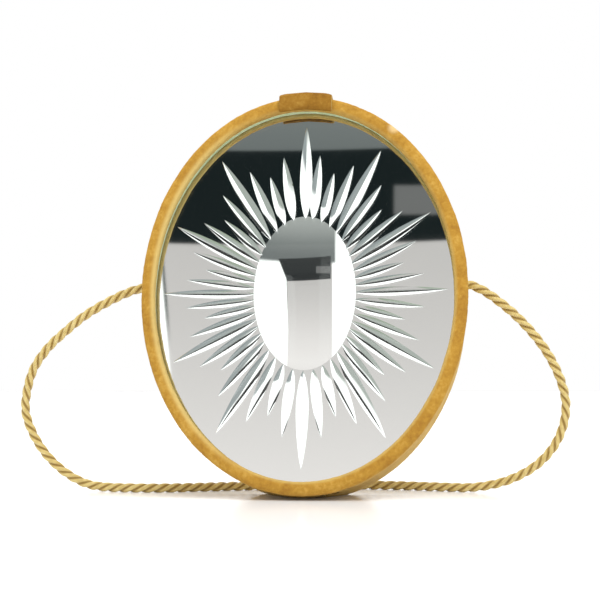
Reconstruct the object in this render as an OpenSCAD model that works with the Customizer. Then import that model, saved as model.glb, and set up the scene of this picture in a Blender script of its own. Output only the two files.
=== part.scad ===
// Oval evening bag: a shallow velvet case whose front is a wheel-cut mirror in a padded rim.
// The front swings down on a short hinge under the bag, a velvet tab at the top holds it to the
// case with a hidden magnet, and a twisted cord strap leaves the case at each side.
//
// The row frame: +Z up, the mirror faces -Y, and the origin is the middle of the flat that the
// bag stands on. Inside leaned() the bag's own frame is used: X across, Z along the oval's long
// axis from its centre, and Y from the front of the rim to the back. An inset is a distance
// inward from the outer oval, measured square to it.

/* [Outline] */
// Width over the padded rim
outer_w = 170; // [160:1:180]
// Height over the padded rim
outer_h = 211; // [200:1:222]
// Thickness from the front of the rim to the back
depth = 44; // [42:1:50]
// How far the bag leans back as it stands, in degrees
lean = 9; // [8:0.5:10]
// Distance from the front of the rim to the start of the standing flat
flat_start = 21; // [19:1:23]

/* [Front] */
// Width of the padded rim, seen from the front
rim_w = 7.2; // [6.8:0.2:7.6]
// Thickness of the padded rim, front to back
rim_t = 6.8; // [6.4:0.2:7]
// Thickness of the mirror glass
glass_t = 3.6; // [3:0.2:3.8]
// Width of the domed oval in the middle of the mirror
dome_w = 53.6; // [46:0.2:60]
// Height of the domed oval
dome_h = 82; // [70:1:90]
// How far the front opens, in degrees
lid_open = 28; // [10:1:30]

/* [Tab] */
// Width of the velvet tab
tab_w = 28; // [24:1:34]
// How far the tab stands proud of the rim
tab_t = 2.2; // [2:0.1:2.4]
// Where the loose end of the tab stops, from the front of the rim
tab_end = 37; // [34:1:38]

/* [Strap] */
// Diameter of the twisted cord
cord_d = 4.7; // [4.2:0.1:4.8]
// Height of the cord's exits above the middle of the oval
cord_up = 8.5; // [8.3:0.1:8.7]

/* [Hidden] */
$fn = 48;

half_w = outer_w / 2;
half_h = outer_h / 2;
oval_steps = 96;     // sides of every oval
eps = 1;             // how far a cutter runs past what it cuts

// Layers of the wall, as insets from the outer oval
band_inset = 0.6;    // the velvet wall sits this far inside the padded rim
velvet_t = 1.3;
board_t = 2.2;
lining_t = 0.8;
board_inset = band_inset + velvet_t;
inner_inset = board_inset + board_t;
hollow_inset = inner_inset + lining_t;

// Layers of the front, as distances from the front of the rim
glass_front = rim_t + 0.2;
glass_back = glass_front + glass_t;
silver_back = glass_back + 0.3;
lid_board_front = silver_back + 0.7;
lid_board_back = lid_board_front + 1.8;
lid_lining_back = lid_board_back + lining_t;
seam = lid_board_back + 3.6;       // where the front meets the case
seam_gap = 0.15;     // each side stays this far from the seam
glass_inset = rim_w - 1.2;         // the padded rim overlaps the edge of the glass

// The padded rim's section, as [inset, distance from the front]
rim_centre = [rim_w / 2, rim_t / 2];
rim_size = [rim_w / 2, rim_t / 2];
core_size = rim_size - [0.9, 0.9];
rim_slit = 24;       // half the angle that the velvet leaves open behind the core

// The pattern in the mirror: a domed oval, and lens-shaped V cuts around it. Their tips lie on
// three ovals, by kind: short, medium and long.
dome_rise = 1.05;    // how far the dome's crown comes forward into the glass
dome_up = 0.9;       // how far the dome's centre lies above the oval's
dome_slices = 6;
cut_count = 48;
cut_kinds = [2, 1, 0, 1];          // in turn from the top, where 2 is long
cut_w = [5.2, 5.6, 6.6];           // full width by kind
cut_tips = [[53.6, 68], [62.8, 75.8], [74.6, 91.4]];
cut_slope = 0.21;    // depth over half the width
cut_peak = 0.62;     // where a cut is widest, from its tip
cut_steps = 6;
skin = 0.02;

// Layers of the back
back_velvet_front = depth - 1.3;
wadding_front = back_velvet_front - 1.5;
back_panel_front = wadding_front - 2;
lining_back_front = back_panel_front - lining_t;
pocket_t = 0.8;

// Hinge, along X at the seam under the bag
hinge_up = 2.2;      // the pin's height above the underside
hinge_z = -half_h + band_inset + hinge_up;
hinge_len = 24;
knuckles = 5;
knuckle_pitch = hinge_len / knuckles;
knuckle_r = 1.7;
knuckle_gap = 0.1;
pin_r = 0.8;
pin_bore_r = 0.84;
hinge_clear_r = 3;
hinge_clear_len = 35;
leaf_t = 0.8;
leaf_reach = 13.6;
lid_leaf_up = 12;
rivet_r = 0.9;
rivet_hole_r = 0.95;
rivet_x = 7;
rivet_reach = 9;     // from the pin to the case leaf's rivets
lid_rivet_up = 7;    // from the pin to the lid leaf's rivets

// Side gussets. Each is folded in half, so it is half as wide as the mouth opens at its top.
gusset_from = -66;   // degrees round the oval, at the hinge end
gusset_to = 10;
gusset_slack = 0.7;
gusset_rise = half_h * sin(gusset_to) - hinge_z;
gusset_w = gusset_rise * sin(lid_open / 2) + gusset_slack;
gusset_front = seam + 1;
gusset_t = 1.6;

// Tab and catch
tab_gap = 0.3;       // the loose end lies this far from the case
tab_inset = band_inset - tab_gap;
tab_front = 2.6;     // how far the tab's front stands before the rim's
tab_half = asin(tab_w / outer_w);  // half its sweep, in degrees round the top of the oval
tab_centre = [(rim_w + 1 - tab_t) / 2, 1.4];
tab_size = [(rim_w + 1 + tab_t) / 2, 1.4 + tab_front];
catch_y = 27;
magnet_r = 5;
magnet_t = 1;
keeper_r = 6;
keeper_t = 1;
stiffener_outside = 0.6 - tab_t;
stiffener_inside = stiffener_outside + 0.3;
magnet_z = half_h - stiffener_inside - magnet_t - 0.35;
keeper_z = half_h - board_inset - 1.4;

// Strap
cord_y = 28;
cord_r = cord_d / 2;
cord_hole_r = cord_r + 0.1;
eyelet_r = 3.4;
eyelet_bore_r = cord_r + 0.15;
cap_x = 78;          // the cord's ends stop in their caps here
cap_len = 5;
cord_sides = 12;
cord_steps = 2;      // rings for each stretch between two points of the route
cord_low = cord_r + 0.05;

// The route of the strap in the row frame, from inside the left wall to inside the right wall
CORD = [
    [-78, 13, 111], [-86, 13, 111], [-97, 13, 108], [-109, 13, 102.5], [-121, 13, 95.5],
    [-132, 14, 87], [-142, 15, 78], [-150, 16, 67], [-154, 17, 55], [-155, 18, 43],
    [-151, 19, 31], [-144, 20, 20], [-134, 21, 10.5], [-121, 20, 4], [-106, 17, 2.4],
    [-90, 15, 2.4], [-74, 18, 2.4], [-58, 25, 2.4], [-42, 33, 2.4], [-24, 40, 2.4],
    [-6, 45, 2.4], [14, 48, 2.4], [34, 48, 2.4], [53, 44, 2.4], [70, 38, 2.4],
    [86, 32, 2.6], [100, 28, 5], [112, 26, 9.5], [122, 24, 16], [130, 22, 25],
    [135, 20, 36], [136.5, 19, 48], [134, 18, 60], [128.5, 16, 72], [121, 15, 83],
    [111, 14, 94], [101, 13, 102.5], [93, 13, 108], [86, 13, 111], [78, 13, 111]
];

// ---- Frame and outline -----------------------------------------------------------------------

// The oval's centre, so that the wall meets the floor at flat_start and beyond
centre_z = (half_h - band_inset) * cos(lean) + (flat_start - depth / 2) * sin(lean);
// The middle of the standing flat, in the bag's own frame, comes to Y = 0
flat_mid = (flat_start + depth) / 2;
centre_y = (half_h - band_inset) * sin(lean) - (flat_mid - depth / 2) * cos(lean);

module leaned() {
    translate([0, centre_y, centre_z]) rotate([-lean, 0, 0]) translate([0, -depth / 2, 0]) children();
}

module above(height) {
    intersection() {
        children();
        translate([-outer_w, -outer_w, height]) cube([2 * outer_w, 2 * outer_w, 2 * outer_h]);
    }
}

// Unit normal of the outer oval, and the point that lies an inset inside it
function oval_normal(t) = let (n = [half_h * cos(t), half_w * sin(t)]) n / norm(n);
function oval_point(t, inset) =
    [half_w * cos(t), half_h * sin(t)] - inset * oval_normal(t);
function oval(inset) = [for (i = [0:oval_steps - 1]) oval_point(360 * i / oval_steps, inset)];

// Stands an outline up: its second axis becomes Z, and it fills Y from y0 to y1
module upright(y0, y1) {
    translate([0, y1, 0]) rotate([90, 0, 0]) linear_extrude(y1 - y0) children();
}

module oval_slab(inset, y0, y1) {
    leaned() upright(y0, y1) polygon(oval(inset));
}

// The same for the case, whose underside is flattened where it stands
module case_slab(inset, y0, y1) {
    above(inset - band_inset) oval_slab(inset, y0, y1);
}

module case_ring(outside, inside, y0, y1) {
    difference() {
        case_slab(outside, y0, y1);
        case_slab(inside, y0 - eps, y1 + eps);
    }
}

module oval_ring(outside, inside, y0, y1) {
    difference() {
        oval_slab(outside, y0, y1);
        oval_slab(inside, y0 - eps, y1 + eps);
    }
}

// Sweeps a closed profile of [inset, y] points round the oval from t0 to t1. A full turn closes
// on itself. A shorter sweep is capped at both ends by strips between the profile's two halves.
module oval_sweep(profile, t0, t1, steps) {
    full = t1 - t0 >= 360;
    n = len(profile);
    rings = full ? steps : steps + 1;
    points = [
        for (i = [0:rings - 1], p = profile)
            let (q = oval_point(t0 + (t1 - t0) * i / steps, p[0])) [q[0], p[1], q[1]]
    ];
    sides = [
        for (i = [0:steps - 1], j = [0:n - 1])
            let (k = (i + 1) % rings, m = (j + 1) % n)
                each [
                    [i * n + j, k * n + j, k * n + m],
                    [i * n + j, k * n + m, i * n + m]
                ]
    ];
    last = (rings - 1) * n;
    caps = full ? [] : [
        for (j = [0:n / 2 - 2])
            each [
                [j, j + 1, n - 2 - j, n - 1 - j],
                [last + n - 1 - j, last + n - 2 - j, last + j + 1, last + j]
            ]
    ];
    polyhedron(points, concat(sides, caps), convexity = 4);
}

// Part of a squarish ellipse about [inset, y], where 0 degrees points inward and 90 to the front
function square_off(v) = sign(v) * pow(abs(v), 0.7);
function arc_points(centre, size, a0, a1, steps) = [
    for (i = [0:steps])
        let (a = a0 + (a1 - a0) * i / steps)
            [centre[0] + size[0] * square_off(cos(a)), centre[1] - size[1] * square_off(sin(a))]
];

// ---- Case ------------------------------------------------------------------------------------

module hinge_room() {
    leaned() translate([0, seam, hinge_z]) rotate([0, 90, 0])
        cylinder(r = hinge_clear_r, h = hinge_clear_len, center = true);
}

// A round bar across both side walls on the strap's axis, from x0 to x1 on each side
module strap_bar(side, r, x0, x1) {
    leaned() translate([side * x0, cord_y, cord_up]) rotate([0, side * 90, 0])
        cylinder(r = r, h = x1 - x0);
}

module both_strap_bars(r) {
    for (side = [-1, 1]) strap_bar(side, r, cap_x - 4, half_w + 5);
}

module band_velvet() {
    color("#cba464") difference() {
        case_ring(band_inset, board_inset, seam + seam_gap, depth - 0.6);
        hinge_room();
        case_leaf_blank();
        both_strap_bars(cord_hole_r);
    }
}

module back_velvet() {
    color("#cba464") case_slab(board_inset, back_velvet_front, depth);
}

module back_wadding() {
    color("#e8e2d2") case_slab(board_inset, wadding_front, back_velvet_front);
}

module back_panel() {
    color("#b59a72") case_slab(inner_inset, back_panel_front, wadding_front);
}

module case_band() {
    color("#b59a72") difference() {
        case_ring(board_inset, inner_inset, seam + seam_gap, wadding_front);
        hinge_room();
        case_leaf_room();
        case_rivet_holes();
        both_strap_bars(eyelet_r);
        leaned() translate([0, catch_y, keeper_z]) cylinder(r = keeper_r, h = 4);
    }
}

module case_lining() {
    color("#d9c08a") difference() {
        case_slab(inner_inset, seam + 0.6, back_panel_front);
        case_slab(hollow_inset, seam, lining_back_front);
        hinge_room();
        both_strap_bars(eyelet_r);
    }
}

module slip_pocket() {
    color("#cfb47c") intersection() {
        case_slab(hollow_inset + 0.3, lining_back_front - pocket_t, lining_back_front);
        leaned() translate([-outer_w, 0, -outer_h]) cube([2 * outer_w, 2 * depth, outer_h - 6]);
    }
}

// A satin fan, folded flat in the mouth of the case: widest near the middle of the oval, and
// nothing where it starts beside the hinge
function gusset_edge(f, depth_in) =
    oval_point(gusset_from + (gusset_to - gusset_from) * f, hollow_inset + 0.3 + depth_in);

module gusset() {
    color("#d9c08a") leaned() upright(gusset_front, gusset_front + gusset_t) polygon(concat(
        [for (i = [0:24]) gusset_edge(i / 24, 0)],
        [for (i = [24:-1:0]) gusset_edge(i / 24, 1 + gusset_w * i / 24)]
    ));
}

module gusset_right() {
    gusset();
}

module gusset_left() {
    mirror([1, 0, 0]) gusset();
}

module keeper_plate() {
    color("#9aa0a4") leaned() translate([0, catch_y, keeper_z]) cylinder(r = keeper_r, h = keeper_t);
}

// ---- Strap -----------------------------------------------------------------------------------

module eyelet(side) {
    color("#c8a24a") difference() {
        union() {
            strap_bar(side, eyelet_r, half_w - hollow_inset - 0.8, half_w - board_inset - 0.6);
            strap_bar(side, eyelet_r + 1.6, half_w - hollow_inset - 1.3, half_w - hollow_inset - 0.7);
        }
        strap_bar(side, eyelet_bore_r, cap_x - 4, half_w + 5);
    }
}

module cap(side) {
    color("#c8a24a") strap_bar(side, eyelet_r, cap_x - cap_len, cap_x);
}

module cord_eyelet_left() {
    eyelet(-1);
}

module cord_eyelet_right() {
    eyelet(1);
}

module cord_cap_left() {
    cap(-1);
}

module cord_cap_right() {
    cap(1);
}

// The strap's axis at the exits, in the row frame
exit_y = centre_y + (cord_y - depth / 2) * cos(lean) + cord_up * sin(lean);
exit_z = centre_z - (cord_y - depth / 2) * sin(lean) + cord_up * cos(lean);

// The route with its straight ends moved onto that axis, and smoothed by a Catmull-Rom spline
function on_axis(p) = abs(p[0]) < 87 && p[2] > 100 ? [p[0], exit_y, exit_z] : p;
route = [for (p = CORD) on_axis(p)];
function knot(i) =
    i < 0 ? 2 * route[0] - route[1]
    : i >= len(route) ? 2 * route[len(route) - 1] - route[len(route) - 2]
    : route[i];
function spline(i, u) =
    let (a = knot(i - 1), b = knot(i), c = knot(i + 1), d = knot(i + 2))
        (2 * b + (c - a) * u + (2 * a - 5 * b + 4 * c - d) * u * u
            + (3 * b - a - 3 * c + d) * u * u * u) / 2;
function not_sunk(p) = [p[0], p[1], max(p[2], cord_low)];
cord_line = concat(
    [for (i = [0:len(route) - 2], s = [0:cord_steps - 1]) not_sunk(spline(i, s / cord_steps))],
    [route[len(route) - 1]]
);
// The ends stay square to the X axis, so that they meet their caps face to face
function cord_way(i) =
    i <= 1 || i >= len(cord_line) - 2 ? [-1, 0, 0]
    : let (d = cord_line[i + 1] - cord_line[i - 1]) d / norm(d);
// The rings are set out from the direction that lies level and square to the cord, or from +Y
// where the cord climbs
function cord_side(i) =
    let (w = cord_way(i), s = cross(w, [0, 1, 0])) s / norm(s);
function cord_ring(i) =
    let (w = cord_way(i), s = cord_side(i), r = cross(w, s))
        [for (j = [0:cord_sides - 1])
            let (a = 360 * (j + 0.5) / cord_sides) cord_line[i] + cord_r * (cos(a) * s + sin(a) * r)];

module strap_cord() {
    n = cord_sides;
    rings = len(cord_line);
    color("#d8c07a") polyhedron(
        [for (i = [0:rings - 1]) each cord_ring(i)],
        concat(
            [[for (j = [0:n - 1]) j]],
            [for (i = [0:rings - 2], j = [0:n - 1])
                let (m = (j + 1) % n)
                    each [
                        [i * n + j, (i + 1) * n + m, i * n + m],
                        [i * n + j, (i + 1) * n + j, (i + 1) * n + m]
                    ]],
            [[for (j = [n - 1:-1:0]) (rings - 1) * n + j]]
        ),
        convexity = 6
    );
}

// ---- Hinge -----------------------------------------------------------------------------------

// The knuckles that one leaf owns: the case has the even ones, counted from 0, and the front
// has the odd ones
module each_knuckle(first) {
    for (k = [first:2:knuckles - 1])
        translate([-hinge_len / 2 + (k + 0.5) * knuckle_pitch, 0, 0]) children();
}

module knuckle_bar(r, length) {
    rotate([0, 90, 0]) cylinder(r = r, h = length, center = true);
}

// The leaves' plates without their knuckles, and the room that is cut for each in the boards
module case_leaf_blank() {
    leaned() translate([-hinge_len / 2, seam, hinge_z - leaf_t / 2])
        cube([hinge_len, leaf_reach, leaf_t]);
}

module case_leaf_room() {
    leaned() translate([-hinge_len / 2, seam, hinge_z + leaf_t / 2 - 5])
        cube([hinge_len, leaf_reach, 5]);
}

module lid_leaf_blank() {
    leaned() translate([-hinge_len / 2, lid_board_back, hinge_z - leaf_t / 2]) {
        cube([hinge_len, seam - lid_board_back, leaf_t]);
        cube([hinge_len, leaf_t, lid_leaf_up]);
    }
}

module lid_leaf_room() {
    leaned() translate([-hinge_len / 2, lid_board_back - 0.5, hinge_z - leaf_t / 2 - 5])
        cube([hinge_len, seam - lid_board_back + 0.5, lid_leaf_up + 5]);
}

// Knuckles on the pin's axis. The other leaf's knuckles have their room cut out of the plate.
module with_knuckles(first) {
    other = 1 - first;
    difference() {
        union() {
            difference() {
                children();
                leaned() translate([0, seam, hinge_z]) each_knuckle(other)
                    knuckle_bar(knuckle_r + 0.4, knuckle_pitch + 2 * knuckle_gap);
            }
            leaned() translate([0, seam, hinge_z]) each_knuckle(first)
                knuckle_bar(knuckle_r, knuckle_pitch - 2 * knuckle_gap);
        }
        leaned() translate([0, seam, hinge_z]) knuckle_bar(pin_bore_r, hinge_len + eps);
    }
}

module hinge_leaf_case() {
    color("#b8963e") difference() {
        with_knuckles(0) case_leaf_blank();
        case_rivet_holes();
    }
}

module hinge_leaf_lid() {
    color("#b8963e") difference() {
        with_knuckles(1) lid_leaf_blank();
        lid_rivets(rivet_hole_r, lid_board_front - eps, lid_lining_back + eps);
    }
}

module hinge_pin() {
    color("#8f9498") leaned() translate([0, seam, hinge_z]) knuckle_bar(pin_r, hinge_len);
}

module case_rivets(r, z0, z1) {
    leaned() for (side = [-1, 1])
        translate([side * rivet_x, seam + rivet_reach, z0]) cylinder(r = r, h = z1 - z0);
}

module case_rivet_holes() {
    case_rivets(rivet_hole_r, hinge_z - 0.6, hinge_z + 4);
}

module lid_rivets(r, y0, y1) {
    leaned() for (side = [-1, 1])
        translate([side * rivet_x, y1, hinge_z + lid_rivet_up]) rotate([90, 0, 0])
            cylinder(r = r, h = y1 - y0);
}

module hinge_rivets_case() {
    color("#b8963e") case_rivets(rivet_r, hinge_z - leaf_t / 2, hinge_z + 1.6);
}

module hinge_rivets_lid() {
    color("#b8963e") lid_rivets(rivet_r, lid_board_front, lid_lining_back);
}

// ---- Front -----------------------------------------------------------------------------------

// The velvet of the rim goes round its core from the slit at the back and returns inside itself
rim_profile = concat(
    arc_points(rim_centre, rim_size, -90 + rim_slit, 270 - rim_slit, 12),
    arc_points(rim_centre, core_size + [0.05, 0.05], 270 - rim_slit, -90 + rim_slit, 12)
);

module rim_velvet() {
    color("#cd9632") leaned() oval_sweep(rim_profile, 0, 360, oval_steps);
}

module rim_core() {
    color("#efe9da") leaned()
        oval_sweep(arc_points(rim_centre, core_size, 0, 330, 11), 0, 360, oval_steps);
}

// Distance from the centre to an oval of half width and height size, at an angle from +X
function reach(size, a) = 1 / norm([cos(a) / size[0], sin(a) / size[1]]);
// The cuts were set out by eye: the top one stands upright, and the others lie a little off an
// even division
function cut_angle(i) =
    let (a = 90 - 360 * i / cut_count)
        i == 0 ? a : a + 0.7 + 1.1 * cos(a) + 2 * sin(a) + 0.9 * sin(3 * a);
function cut_swell(s) =
    s < cut_peak ? pow(sin(90 * s / cut_peak), 0.8) : pow(cos(90 * (s - cut_peak) / (1 - cut_peak)), 0.7);

module cut(a, kind, floor_y) {
    tip = reach(cut_tips[kind], a);
    inner = reach([dome_w, dome_h] / 2, a) - 0.6;
    w = cut_w[kind] * (0.72 + 0.28 * abs(sin(a)));
    steps = [for (i = [0:cut_steps]) i / cut_steps];
    edge = [for (s = steps) [tip + (inner - tip) * s, max(0.03, w / 2 * cut_swell(s))]];
    hull() {
        upright(glass_back - skin, floor_y) rotate(a) polygon(concat(
            edge, [for (i = [cut_steps:-1:0]) [edge[i][0], -edge[i][1]]]
        ));
        translate([0, glass_back, 0]) rotate([0, -a, 0]) linear_extrude(skin, center = true)
            polygon([for (e = edge) [e[0], -e[1] * cut_slope]]);
    }
}

module dome(floor_y) {
    hull() for (i = [0:dome_slices]) {
        rise = dome_rise * (1 - pow(1 - i / dome_slices, 2));
        grow = sqrt(max(0.002, 1 - rise / dome_rise));
        upright(glass_back - max(rise, skin), floor_y) translate([0, dome_up]) polygon([
            for (k = [0:oval_steps / 2 - 1])
                grow / 2 * [dome_w * cos(720 * k / oval_steps), dome_h * sin(720 * k / oval_steps)]
        ]);
    }
}

// Everything that the wheel took out of the back of the glass, with a floor at floor_y
module cut_pattern(floor_y) {
    leaned() {
        dome(floor_y);
        for (i = [0:cut_count - 1])
            cut(cut_angle(i), cut_kinds[i % 4], floor_y);
    }
}

module mirror_glass() {
    color("#bfd9c4", 0.5) difference() {
        oval_slab(glass_inset, glass_front, glass_back);
        cut_pattern(glass_back + eps);
    }
}

// The silver fills the cuts, and backs the rest of the glass
module mirror_silvering() {
    color("#c9ccd0") union() {
        oval_slab(glass_inset, glass_back, silver_back);
        cut_pattern(glass_back + skin);
    }
}

module mirror_pad() {
    color("#3a3a3c") oval_slab(glass_inset, silver_back, lid_board_front);
}

module lid_board() {
    color("#b59a72") difference() {
        oval_slab(inner_inset, lid_board_front, lid_board_back);
        lid_rivets(rivet_hole_r, lid_board_front - eps, lid_board_back + eps);
    }
}

// A band of board with a thicker front part that frames the glass
module lid_ring() {
    color("#b59a72") difference() {
        union() {
            oval_ring(board_inset, inner_inset, rim_t, seam - seam_gap);
            oval_ring(board_inset + 0.5, glass_inset - 0.2, rim_t, lid_board_front);
        }
        hinge_room();
        lid_leaf_room();
    }
}

module lid_band_velvet() {
    color("#cba464") difference() {
        oval_ring(band_inset, board_inset, rim_t, seam - seam_gap);
        hinge_room();
        lid_leaf_room();
    }
}

module lid_lining() {
    color("#d9c08a") difference() {
        oval_slab(inner_inset, lid_board_back, lid_lining_back);
        lid_leaf_room();
    }
}

// ---- Tab -------------------------------------------------------------------------------------

// Over the rim: outside from the seam to the rim's inner side, then back against the rim
tab_profile = concat(
    [[-tab_t, seam - seam_gap]],
    arc_points(tab_centre, tab_size, 180, 20, 12),
    arc_points(rim_centre, rim_size + [0.1, 0.1], 35, 180, 12),
    [[-0.1, seam - seam_gap]]
);

module tab_wrap() {
    color("#cd9632") leaned() oval_sweep(tab_profile, 90 - tab_half, 90 + tab_half, 16);
}

// The loose end lies over the case, and has round corners
module tab_layer(outside, inside, margin, y0) {
    r = 5 - margin;
    w = tab_w / 2 - margin;
    end = tab_end - margin;
    intersection() {
        oval_ring(outside, inside, y0, end);
        leaned() union() {
            translate([-w, 0, 0]) cube([2 * w, end - r, outer_h]);
            translate([r - w, 0, 0]) cube([2 * (w - r), end, outer_h]);
            for (side = [-1, 1])
                translate([side * (w - r), end - r, 0]) cylinder(r = r, h = outer_h);
        }
    }
}

module tab_flap() {
    color("#cd9632") difference() {
        tab_layer(-tab_t, tab_inset, 0, seam + seam_gap);
        tab_layer(stiffener_outside, stiffener_inside, 3, seam + 3);
        leaned() translate([0, catch_y, magnet_z]) cylinder(r = magnet_r, h = magnet_t);
    }
}

module tab_stiffener() {
    color("#e8e2d2") tab_layer(stiffener_outside, stiffener_inside, 3, seam + 3);
}

module tab_magnet() {
    color("#6d7276") leaned() translate([0, catch_y, magnet_z]) cylinder(r = magnet_r, h = magnet_t);
}

// ---- What each node draws --------------------------------------------------------------------

band_velvet();
back_velvet();
back_wadding();
back_panel();
case_band();
case_lining();
slip_pocket();
gusset_left();
gusset_right();
keeper_plate();
cord_eyelet_left();
cord_eyelet_right();
cord_cap_left();
cord_cap_right();
strap_cord();
hinge_leaf_case();
hinge_pin();
hinge_rivets_case();
rim_velvet();
rim_core();
mirror_glass();
mirror_silvering();
mirror_pad();
lid_board();
lid_ring();
lid_band_velvet();
lid_lining();
hinge_leaf_lid();
hinge_rivets_lid();
tab_wrap();
tab_flap();
tab_stiffener();
tab_magnet();
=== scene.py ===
"""Looks of the oval evening bag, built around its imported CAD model.

Lengths are in millimetres until world(), or a factor of 0.001, turns them into metres. The bag's own
frame is the CAD's: X across, Z along the oval's long axis from its centre, Y from the front of the
rim to the back. An inset is a distance inward from the outer oval.
"""

import math

import bmesh
import bpy
import numpy as np
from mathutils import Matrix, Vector, noise

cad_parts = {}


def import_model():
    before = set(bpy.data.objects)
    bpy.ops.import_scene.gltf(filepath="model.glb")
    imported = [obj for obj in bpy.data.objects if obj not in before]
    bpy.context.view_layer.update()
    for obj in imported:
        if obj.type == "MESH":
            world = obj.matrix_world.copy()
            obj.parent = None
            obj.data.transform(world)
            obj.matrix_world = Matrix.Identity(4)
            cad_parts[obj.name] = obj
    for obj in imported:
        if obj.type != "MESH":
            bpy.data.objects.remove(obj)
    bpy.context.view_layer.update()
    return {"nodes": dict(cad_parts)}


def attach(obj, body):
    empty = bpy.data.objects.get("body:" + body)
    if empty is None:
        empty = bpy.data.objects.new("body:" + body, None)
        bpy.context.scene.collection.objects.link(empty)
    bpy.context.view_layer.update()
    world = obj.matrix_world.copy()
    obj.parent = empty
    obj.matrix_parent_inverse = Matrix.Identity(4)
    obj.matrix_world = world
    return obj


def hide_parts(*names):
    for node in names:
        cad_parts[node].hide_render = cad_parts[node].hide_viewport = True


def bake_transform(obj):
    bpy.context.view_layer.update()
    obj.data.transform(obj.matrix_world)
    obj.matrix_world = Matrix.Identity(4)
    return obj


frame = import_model()
NODES = frame["nodes"]
scene = bpy.context.scene

HALF_W, HALF_H = 85.0, 105.5
MIDDLE = 22.0  # half the bag's depth
LEAN = math.radians(9)
COS, SIN = math.cos(LEAN), math.sin(LEAN)
CENTRE_Y, CENTRE_Z = 6.039, 103.452  # the bag's middle in the row frame
SEAM = 17.0
CORD_D = 4.7
RIM_R, RIM_HALF_T = 3.6, 3.4  # half the padded rim's width, and half its thickness
TAB_OUT = 2.2  # how far the tab stands proud of the rim
TAB_HALF_W = 14.0
TAB_END = 37.0
WALL_INSET = 0.6
INNER_INSET = 4.15  # the mouth's inner edge
LINING_INSET = 4.9
SATIN_T = 0.35


def world(x, y, z):
    """Bag frame in mm to row frame in metres."""
    y = y - MIDDLE
    return np.stack(
        np.broadcast_arrays(
            x * 0.001,
            (CENTRE_Y + y * COS + z * SIN) * 0.001,
            (CENTRE_Z - y * SIN + z * COS) * 0.001,
        ),
        axis=-1,
    )


def oval(t, inset):
    """The point at angle t of the outer oval, moved inward by inset, as x and z."""
    nx, nz = HALF_H * np.cos(t), HALF_W * np.sin(t)
    n = np.hypot(nx, nz)
    return HALF_W * np.cos(t) - inset * nx / n, HALF_H * np.sin(t) - inset * nz / n


def smooth(x, lo, hi):
    u = np.clip((x - lo) / (hi - lo), 0, 1)
    return u * u * (3 - 2 * u)


# ---- Camera ------------------------------------------------------------------------------------


def make_camera():
    az, el, dist = math.radians(5.3), math.radians(-2.7), 0.8
    target = Vector((-0.003, 0, 0.1027))
    back = Vector((math.sin(az) * math.cos(el), -math.cos(az) * math.cos(el), math.sin(el)))
    cam = bpy.data.objects.new("camera", bpy.data.cameras.new("camera"))
    scene.collection.objects.link(cam)
    cam.data.angle = math.radians(22.35)
    cam.location = target + back * dist
    cam.rotation_mode = "QUATERNION"
    cam.rotation_quaternion = (-back).to_track_quat("-Z", "Y")
    scene.camera = cam


make_camera()

# ---- Meshes ------------------------------------------------------------------------------------


def grid_faces(nu, nv, close_u, close_v):
    iu = np.arange(nu if close_u else nu - 1)
    iv = np.arange(nv if close_v else nv - 1)
    a, b = np.meshgrid(iu, iv, indexing="ij")
    c, d = (a + 1) % nu, (b + 1) % nv
    return np.stack([a * nv + b, c * nv + b, c * nv + d, a * nv + d], axis=-1).reshape(-1, 4)


def add_mesh(name, points, faces, materials, body=None, flat=False):
    me = bpy.data.meshes.new(name)
    me.from_pydata([tuple(p) for p in points], [], [tuple(int(i) for i in f) for f in faces])
    bm = bmesh.new()
    bm.from_mesh(me)
    bmesh.ops.recalc_face_normals(bm, faces=bm.faces)
    for f in bm.faces:
        f.smooth = not flat
    bm.to_mesh(me)
    bm.free()
    for m in materials:
        me.materials.append(m)
    o = bpy.data.objects.new(name, me)
    scene.collection.objects.link(o)
    if body:
        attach(o, body)
    return o


def tube_of_rings(rings, close_u):
    """Faces of a tube whose rings are closed, with both ends capped unless it closes on itself."""
    nu, nv = rings.shape[:2]
    faces = [tuple(f) for f in grid_faces(nu, nv, close_u, True)]
    if not close_u:
        faces.append(tuple(range(nv)))
        faces.append(tuple((nu - 1) * nv + i for i in reversed(range(nv))))
    return faces


def nap(o, layers, floor=False):
    """Moves each vertex along its normal by layered noise. Each layer is (size, height) in mm."""
    me = o.data
    normals = [v.normal.copy() for v in me.vertices]
    for v, n in zip(me.vertices, normals):
        p = v.co * 1000
        h = 0
        for i, (size, height) in enumerate(layers):
            h += height * noise.noise(p / size + Vector((i * 7.3, 0, 0)))
        v.co += n * h * 0.001
    if floor:
        for v in me.vertices:
            v.co.z = max(v.co.z, 0.00003)
    me.update()


def shade(o, values):
    """Stores a painted highlight at each vertex: how far the velvet's colour is lightened there."""
    o.data.attributes.new("painted_light", "FLOAT", "POINT").data.foreach_set("value", np.asarray(values, np.float32))


def sweep(name, profile, materials, body, steps):
    """Sweeps a closed profile round the oval. profile(t) gives insets and depths, one row for each t."""
    t = np.arange(steps) * 2 * math.pi / steps
    inset, y = profile(t[:, None])
    inset, y = np.broadcast_arrays(inset, y)
    x, z = oval(t[:, None], inset)
    rings = world(x, y, z)
    return add_mesh(name, rings.reshape(-1, 3), tube_of_rings(rings, True), materials, body)


# ---- Materials ---------------------------------------------------------------------------------


def srgb(*levels):
    """Screen colour levels, 0 to 255, as the linear colour that shaders take."""
    linear = [c / 255 / 12.92 if c <= 10 else ((c / 255 + 0.055) / 1.055) ** 2.4 for c in levels]
    return (*linear, 1.0)


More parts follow.
